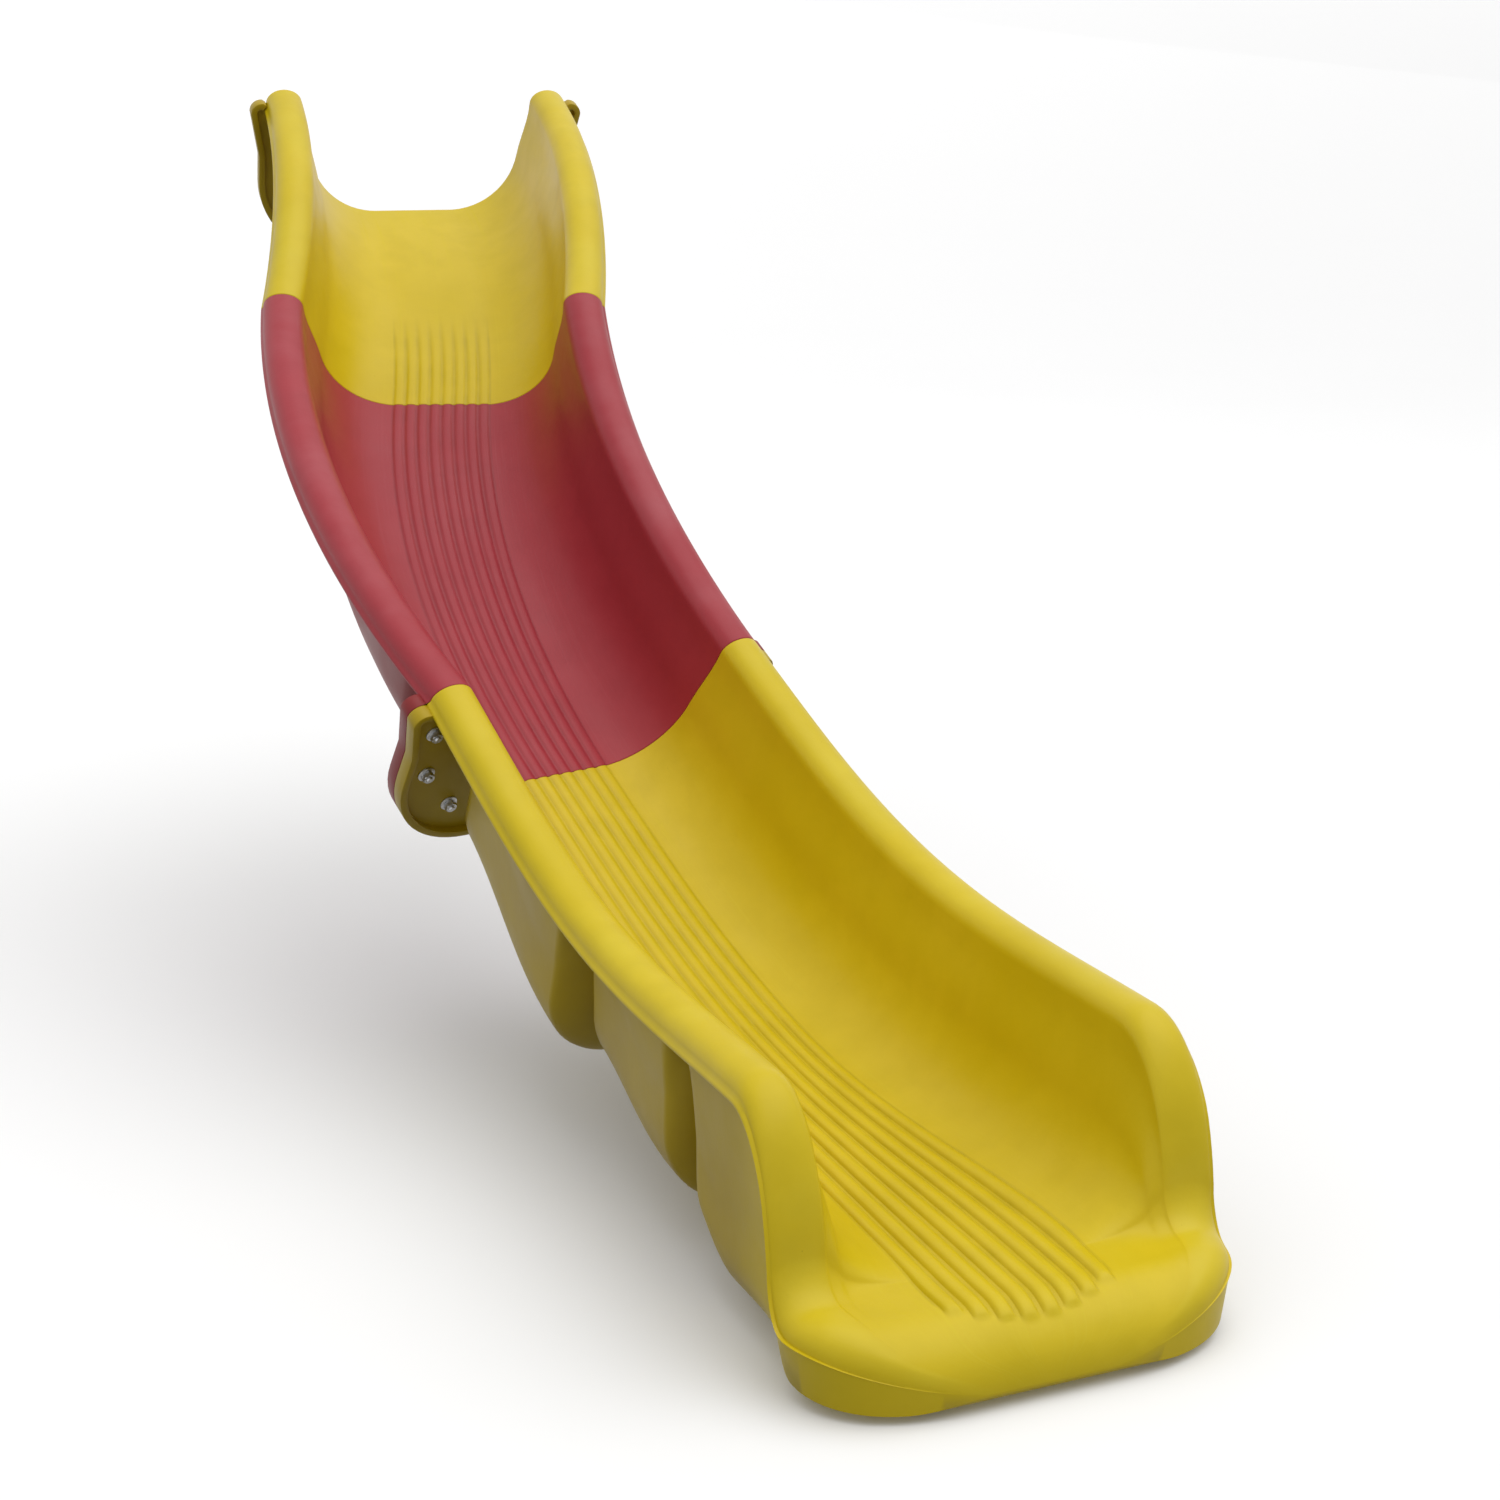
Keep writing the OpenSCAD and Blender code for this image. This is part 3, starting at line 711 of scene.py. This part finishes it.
class WAVESLIDE_OT_top_section(bpy.types.Operator):
    """Mould the top section, with its entry flange"""
    bl_idname = "wave_slide.top_section"
    bl_label = "Top Section"

    def execute(self, context):
        look = context.scene.wave_slide_moulding
        end = UPPER_JOINT - JOINT_GAP / 2
        rings = (flange_rings(0, 0, 1, look)
                 + body_rings(stations(FLANGE_T + 8, end - FLANGE_T - 8, 9), no_pods, look)
                 + flange_rings(UPPER_JOINT, end, -1, look))
        settle(swept_shell("top_section", rings), yellow_plastic(look), "yellow_plastic", "top_chute")
        return {"FINISHED"}


class WAVESLIDE_OT_middle_section(bpy.types.Operator):
    """Mould the middle section, with its shallow stiffening pod"""
    bl_idname = "wave_slide.middle_section"
    bl_label = "Middle Section"

    def execute(self, context):
        look = context.scene.wave_slide_moulding
        start, end = UPPER_JOINT + JOINT_GAP / 2, LOWER_JOINT - JOINT_GAP / 2
        rings = (flange_rings(UPPER_JOINT, start, 1, look)
                 + body_rings(stations(start + FLANGE_T + 8, end - FLANGE_T - 8, 9), middle_pods, look)
                 + flange_rings(LOWER_JOINT, end, -1, look))
        settle(swept_shell("middle_section", rings), red_plastic(look), "red_plastic", "middle_chute")
        return {"FINISHED"}


class WAVESLIDE_OT_bottom_section(bpy.types.Operator):
    """Mould the bottom section, with its pods, falling rails and rolled exit lip"""
    bl_idname = "wave_slide.bottom_section"
    bl_label = "Bottom Section"

    def execute(self, context):
        look = context.scene.wave_slide_moulding
        start = LOWER_JOINT + JOINT_GAP / 2
        places = (stations(start + FLANGE_T + 8, POD_TWO - POD_CLOSE - 4, 10)
                  + stations(POD_TWO - POD_CLOSE, POD_TWO + 40, 5)
                  + stations(POD_TWO + 48, POD_THREE - POD_CLOSE - 4, 10)
                  + stations(POD_THREE - POD_CLOSE, POD_THREE + 60, 5)
                  + stations(POD_THREE + 68, RAIL_START, 9))
        rings = flange_rings(LOWER_JOINT, start, 1, look)
        rings += body_rings(places + exit_stations(), bottom_pods, look)
        settle(swept_shell("bottom_section", rings), yellow_plastic(look), "yellow_plastic", "bottom_chute")
        return {"FINISHED"}


def turned(profile, steps=32):
    """A closed ring or a solid spun from a profile of (radius, height) in mm about Z."""
    bm = bmesh.new()
    verts = [bm.verts.new((r * MM, 0, z * MM)) for r, z in profile]
    edges = [bm.edges.new(pair) for pair in zip(verts, verts[1:])]
    bmesh.ops.spin(bm, geom=verts + edges, cent=(0, 0, 0), axis=(0, 0, 1), dvec=(0, 0, 0),
                   angle=math.tau, steps=steps, use_merge=True, use_duplicate=False)
    bmesh.ops.remove_doubles(bm, verts=bm.verts, dist=1e-7)
    bmesh.ops.recalc_face_normals(bm, faces=bm.faces)
    return bm


def add_to(target, source):
    """Puts a finished bmesh into another."""
    mesh = bpy.data.meshes.new("part")
    source.to_mesh(mesh)
    source.free()
    target.from_mesh(mesh)
    bpy.data.meshes.remove(mesh)


def hexagon(width, height, bore=0.0):
    """A chamfered hexagon across flats in mm, from z 0 up; with a bore it is a nut, else a bolt head."""
    bm = bmesh.new()
    flat = width / 2
    parts = 48

    def outline(limit):
        out = []
        for i in range(parts):
            a = math.tau * i / parts
            side = (a + math.pi / 6) % (math.pi / 3) - math.pi / 6
            out.append((min(flat / math.cos(side), limit), a))
        return out

    def circle(radius):
        return [(radius, math.tau * i / parts) for i in range(parts)]

    bevel, bore_bevel = 0.07 * width, 0.6
    rings = [(outline(flat * 1.02), 0.0), (outline(flat * 1.16), bevel),
             (outline(flat * 1.16), height - bevel),
             (outline(flat * 1.02), height), (outline(flat * 0.93), height)]
    if bore:
        rings += [(circle(bore / 2 + bore_bevel), height), (circle(bore / 2), height - bore_bevel),
                  (circle(bore / 2), bore_bevel), (circle(bore / 2 + bore_bevel), 0.0)]
    else:
        rings += [(circle(flat * 0.90), height - 0.25)]
    order = bm.verts.layers.int.new("order")
    verts = bmesh.ops.create_circle(bm, segments=parts, radius=1.0, cap_ends=False)["verts"]
    for i, v in enumerate(verts):
        v[order] = i
    edges = first = bm.edges[:]
    for k, (points, z) in enumerate(rings):
        if k:
            made = bmesh.ops.extrude_edge_only(bm, edges=edges)["geom"]
            verts = sorted((g for g in made if isinstance(g, bmesh.types.BMVert)), key=lambda v: v[order])
            fresh = set(verts)
            edges = [g for g in made if isinstance(g, bmesh.types.BMEdge) and fresh.issuperset(g.verts)]
        for v, (r, a) in zip(verts, points):
            v.co = (r * math.cos(a) * MM, r * math.sin(a) * MM, z * MM)
    if bore:
        bmesh.ops.bridge_loops(bm, edges=first + edges)
    else:
        for loop in (first, edges):
            bmesh.ops.edgeloop_fill(bm, edges=loop)
    bmesh.ops.recalc_face_normals(bm, faces=bm.faces)
    return bm


def scattered(name, make, places, sharp=30):
    """One object holding a copy of a small part at each place."""
    whole = bmesh.new()
    for place in places:
        part = make()
        bmesh.ops.transform(part, matrix=place, verts=part.verts)
        add_to(whole, part)
    return finished(name, whole, sharp)


def joint_places(joint, offset):
    """Places of a joint's eight bolts, in its own plane."""
    plane = work_plane(joint)
    edge_u = UPPER_FLANGE_U if joint == UPPER_JOINT else FLANGE_U
    web_u = (RAIL_U - RAIL_RX + WALL + edge_u) / 2
    spots = [(web_u, 168.0), (web_u - 10, 78.0), (edge_u - 118, -1.5), (96.0, ENTRY_V)]
    return [plane @ Matrix.Translation((side * u * MM, v * MM, offset * MM))
            for side in (1, -1) for u, v in spots]


GRIP = 2 * FLANGE_T + JOINT_GAP
SEAT = 0.1
THREADED = 12
JOINTS = (("upper_joint", UPPER_JOINT), ("lower_joint", LOWER_JOINT))


def bolt(hardware):
    """A hexagon bolt, its head below z 0 and its threaded end up."""
    d, pitch = hardware.bolt / MM, hardware.thread_pitch / MM
    washer = hardware.washer_thickness / MM
    length = GRIP + 2 * washer + 3 * SEAT + d + 3
    head = hexagon(1.7 * d, 0.64 * d)
    bmesh.ops.rotate(head, cent=(0, 0, 0), matrix=Matrix.Rotation(math.pi, 3, "X"), verts=head.verts)
    crest, root = d / 2 - 0.05, d / 2 - 0.85
    thread = ((root, 0.4), (root, 0.5), (crest, 0.9), (crest, 1))
    profile = [(0, 0.0), (crest, 0.0), (crest, length - THREADED)]
    z = length - THREADED
    while z + pitch < length - 0.8:
        profile += [(r, z + pitch * turn) for r, turn in thread]
        z += pitch
    profile += [(d / 2 - 1.0, length), (0, length)]
    add_to(head, turned(profile, 28))
    return head


class WAVESLIDE_OT_bolts(bpy.types.Operator):
    """Set the hexagon bolts in the two joints"""
    bl_idname = "wave_slide.bolts"
    bl_label = "Joint Bolts"

    def execute(self, context):
        hardware = context.scene.wave_slide_hardware
        start = -GRIP / 2 - hardware.washer_thickness / MM - 2 * SEAT
        for name, joint in JOINTS:
            piece = scattered(name + "_bolt_set", lambda: bolt(hardware), joint_places(joint, start))
            settle(piece, material("zinc_plate", zinc, hardware.zinc), "zinc_steel", name + "_bolts")
        return {"FINISHED"}


class WAVESLIDE_OT_washers(bpy.types.Operator):
    """Lay the flat washers under the bolt heads and the nuts"""
    bl_idname = "wave_slide.washers"
    bl_label = "Joint Washers"

    def execute(self, context):
        hardware = context.scene.wave_slide_hardware
        t, outer, inner = hardware.washer_thickness / MM, hardware.washer / MM / 2, hardware.bolt / MM / 2 + 0.5
        profile = [(inner, 0.3), (inner + 0.3, 0), (outer - 0.5, 0), (outer, 0.5), (outer, t - 0.6),
                   (outer - 0.2, t - 0.2), (outer - 0.6, t), (inner + 0.4, t), (inner, t - 0.4), (inner, 0.3)]
        for name, joint in JOINTS:
            for side, start in (("head", -GRIP / 2 - t - SEAT), ("nut", GRIP / 2 + SEAT)):
                places = joint_places(joint, start)
                piece = scattered(f"{name}_{side}_washer_set", lambda: turned(profile, 40), places)
                finish = material("zinc_plate", zinc, hardware.zinc)
                settle(piece, finish, "zinc_steel", f"{name}_{side}_washers")
        return {"FINISHED"}


class WAVESLIDE_OT_nuts(bpy.types.Operator):
    """Turn the chamfered nuts on to the bolts"""
    bl_idname = "wave_slide.nuts"
    bl_label = "Joint Nuts"

    def execute(self, context):
        hardware = context.scene.wave_slide_hardware
        d = hardware.bolt / MM
        start = GRIP / 2 + hardware.washer_thickness / MM + 2 * SEAT
        for name, joint in JOINTS:
            places = joint_places(joint, start)
            piece = scattered(name + "_nut_set", lambda: hexagon(1.7 * d, d, d + 0.1), places)
            settle(piece, material("zinc_plate", zinc, hardware.zinc), "zinc_steel", name + "_nuts")
        return {"FINISHED"}


PAD_STATIONS = (LEVEL_FROM + 48, ROLL_START + 10)
PAD_SPACING = 290.0


def pad_places(offset):
    out = []
    for s in PAD_STATIONS:
        for side in (-1, 1):
            spot = centre(s) + side * PAD_SPACING / 2 * across(s) - (EXIT_DEPTH + offset) * upward(s)
            out.append(Matrix.Translation(spot * MM) @ Matrix.Rotation(math.pi, 4, "X"))
    return out


class WAVESLIDE_OT_ground_pads(bpy.types.Operator):
    """Put the ribbed rubber pads under the level exit"""
    bl_idname = "wave_slide.ground_pads"
    bl_label = "Ground Pads"

    def execute(self, context):
        hardware = context.scene.wave_slide_hardware
        r, h = hardware.pad / MM / 2, hardware.pad_height / MM
        rim = [(4.2, 0), (r - 1.5, 0), (r - 0.4, 0.4), (r, 1.5), (r, h * 0.35), (r - 0.9, h * 0.42),
               (r - 0.9, h * 0.5), (r, h * 0.57), (r, h - 1.8), (r - 0.6, h - 0.6), (r - 1.8, h)]
        grooves = [(r - 5, h), (r - 6, h - 1), (r - 8, h - 1), (r - 9, h),
                   (r - 12, h), (r - 13, h - 1), (r - 15, h - 1), (r - 16, h)]
        screw_seat = [(9.5, h), (8.5, h - 0.8), (8.5, 6), (4.2, 6), (4.2, 0)]
        profile = rim + grooves + screw_seat
        piece = scattered("ground_pad_set", lambda: turned(profile, 56), pad_places(SEAT))
        settle(piece, material("pad_rubber_finish", rubber, hardware.rubber), "pad_rubber", "ground_pads")
        return {"FINISHED"}


class WAVESLIDE_OT_pad_screws(bpy.types.Operator):
    """Drive the pan-head screws through the pads"""
    bl_idname = "wave_slide.pad_screws"
    bl_label = "Pad Screws"

    def execute(self, context):
        hardware = context.scene.wave_slide_hardware
        seat = hardware.pad_height / MM - 6
        shank = [(0, -seat - 6), (3.2, -seat - 6), (4, -seat - 5.2), (4, 0)]
        head = [(8, 0), (8, 1.6), (7.2, 3.0), (5.6, 3.8), (3.0, 4.0), (3.0, 1.8), (0, 1.8)]
        profile = shank + head
        piece = scattered("pad_screw_set", lambda: turned(profile, 32), pad_places(SEAT + seat + SEAT))
        settle(piece, material("zinc_plate", zinc, hardware.zinc), "zinc_steel", "pad_screws")
        return {"FINISHED"}


# Ground: a flat disc that turns up into a wall all round, in metres
GROUND_REACH, COVE_R, WALL_TOP, COVE_STEPS = 9, 5, 12, 12
SUN_WIDTH, SUN_WAY = 70, (-0.34, 0.22, -1.0)
CAMERA_LENS, CAMERA_DIP, CAMERA_TURN = 56.90, 15.232, -22.644
CAMERA_PLACE = (-1.2811, -4.8839, 0.2478)


def ground_profile():
    """Radii and heights of the ground in metres, from its middle out and up the wall."""
    turns = [k * math.pi / (2 * COVE_STEPS) for k in range(1, COVE_STEPS + 1)]
    bend = [(GROUND_REACH + COVE_R * math.sin(a), COVE_R - COVE_R * math.cos(a)) for a in turns]
    return [(0, 0), (4, 0), (GROUND_REACH, 0)] + bend + [(GROUND_REACH + COVE_R, WALL_TOP)]


def turned_out(face):
    """Whether a face of the ground looks down or away from the slide."""
    return face.normal.z < -0.01 or face.normal.xy.dot(face.calc_center_median().xy) > 0.01


class WAVESLIDE_OT_stage(bpy.types.Operator):
    """Lay the floor and set the lights, the surroundings and the camera"""
    bl_idname = "wave_slide.stage"
    bl_label = "Stage"

    def execute(self, context):
        scene, stage = context.scene, context.scene.wave_slide_stage
        low, high = FRAME_BOX
        bm = turned([(r / MM, z / MM) for r, z in ground_profile()], 96)
        bmesh.ops.reverse_faces(bm, faces=[face for face in bm.faces if turned_out(face)])
        bmesh.ops.translate(bm, vec=(0, -1.4, low.z - 0.0005), verts=bm.verts)
        ground = finished("ground", bm)
        n = Nodes("ground_finish")
        place = n.new("ShaderNodeTexCoord").outputs["Object"]
        tint = n.mixed(n.noise(place, 0.6, 2.0), tone(stage.floor, 0.985), tone(stage.floor, 1.0))
        rough = n.remap(n.noise(place, 2.0, 2.0), 0.3, 0.7, 0.85, 0.95)
        n.finish(tint, rough, n.bump(n.noise(place, 40.0, 2.0), 0.02, 0.001))
        height = n.new("ShaderNodeSeparateXYZ", {"Vector": place}).outputs["Z"]
        n.shader.inputs["Emission Color"].default_value = (1.0, 1.0, 1.0, 1.0)
        n.tree.links.new(n.remap(height, low.z, low.z + 3.0, 0.02, 0.42), n.shader.inputs["Emission Strength"])
        n.shader.inputs["Specular IOR Level"].default_value = 0.1
        n.material.cycles.emission_sampling = "NONE"
        ground.data.materials.append(n.material)
        ground.visible_diffuse = False
        world = bpy.data.worlds.new("soft_surround")
        world.use_nodes = True
        tree = world.node_tree
        level = tree.nodes.new("ShaderNodeSeparateXYZ")
        tree.links.new(tree.nodes.new("ShaderNodeTexCoord").outputs["Generated"], level.inputs[0])
        ramp = tree.nodes.new("ShaderNodeValToRGB")
        stops = ramp.color_ramp.elements
        spots = ((stops[0], 0.0, stage.below), (stops.new(0.47), 0.47, stage.below),
                 (stops.new(0.56), 0.56, stage.horizon), (stops[-1], 1.0, stage.sky))
        for stop, spot, bright in spots:
            stop.position, stop.color = spot, (bright, bright, bright, 1.0)
        span = tree.nodes.new("ShaderNodeMapRange")
        span.inputs["From Min"].default_value = -1.0
        tree.links.new(level.outputs["Z"], span.inputs["Value"])
        tree.links.new(span.outputs["Result"], ramp.inputs["Fac"])
        tree.links.new(ramp.outputs["Color"], tree.nodes["Background"].inputs["Color"])
        scene.world = world
        sun = bpy.data.lights.new("overhead_light", "SUN")
        sun.energy, sun.angle = stage.sun, math.radians(SUN_WIDTH)
        lamp = bpy.data.objects.new("overhead_light", sun)
        lamp.location = (low + high) / 2 + Vector((1.2, -1.0, 3.5))
        lamp.rotation_euler = Vector(SUN_WAY).to_track_quat("-Z", "Y").to_euler()
        scene.collection.objects.link(lamp)
        camera = bpy.data.cameras.new("camera")
        camera.lens, camera.sensor_width = CAMERA_LENS, 36.0
        camera.clip_start, camera.clip_end = 0.05, 200.0
        viewer = bpy.data.objects.new("camera", camera)
        viewer.location = CAMERA_PLACE
        turn = (math.radians(90 - CAMERA_DIP), 0.0, math.radians(CAMERA_TURN))
        viewer.rotation_euler = Euler(turn, "XYZ")
        scene.collection.objects.link(viewer)
        scene.camera = viewer
        scene.view_settings.view_transform = "Standard"
        return {"FINISHED"}


class WAVESLIDE_PT_panel(bpy.types.Panel):
    """Wave slide settings and build steps"""
    bl_label = "Wave Slide"
    bl_idname = "WAVESLIDE_PT_panel"
    bl_space_type = "VIEW_3D"
    bl_region_type = "UI"
    bl_category = "Wave Slide"

    def draw(self, context):
        for title, group in GROUPS:
            box = self.layout.box()
            box.label(text=title)
            settings = getattr(context.scene, group)
            for name in settings.__annotations__:
                box.prop(settings, name)
        for step in STEPS:
            self.layout.operator(step.bl_idname)


GROUPS = (("Mouldings", "wave_slide_moulding"), ("Hardware", "wave_slide_hardware"),
          ("Stage", "wave_slide_stage"))
STEPS = (WAVESLIDE_OT_top_section, WAVESLIDE_OT_middle_section, WAVESLIDE_OT_bottom_section,
         WAVESLIDE_OT_bolts, WAVESLIDE_OT_washers, WAVESLIDE_OT_nuts,
         WAVESLIDE_OT_ground_pads, WAVESLIDE_OT_pad_screws, WAVESLIDE_OT_stage)
CLASSES = (WaveSlideMoulding, WaveSlideHardware, WaveSlideStage) + STEPS + (WAVESLIDE_PT_panel,)


def register():
    for cls in CLASSES:
        bpy.utils.register_class(cls)
    bpy.types.Scene.wave_slide_moulding = PointerProperty(type=WaveSlideMoulding)
    bpy.types.Scene.wave_slide_hardware = PointerProperty(type=WaveSlideHardware)
    bpy.types.Scene.wave_slide_stage = PointerProperty(type=WaveSlideStage)


def unregister():
    for _, group in GROUPS:
        delattr(bpy.types.Scene, group)
    for cls in reversed(CLASSES):
        bpy.utils.unregister_class(cls)


def main():
    register()
    for step in STEPS:
        group, name = step.bl_idname.split(".")
        getattr(getattr(bpy.ops, group), name)()


if __name__ == "__main__":
    main()
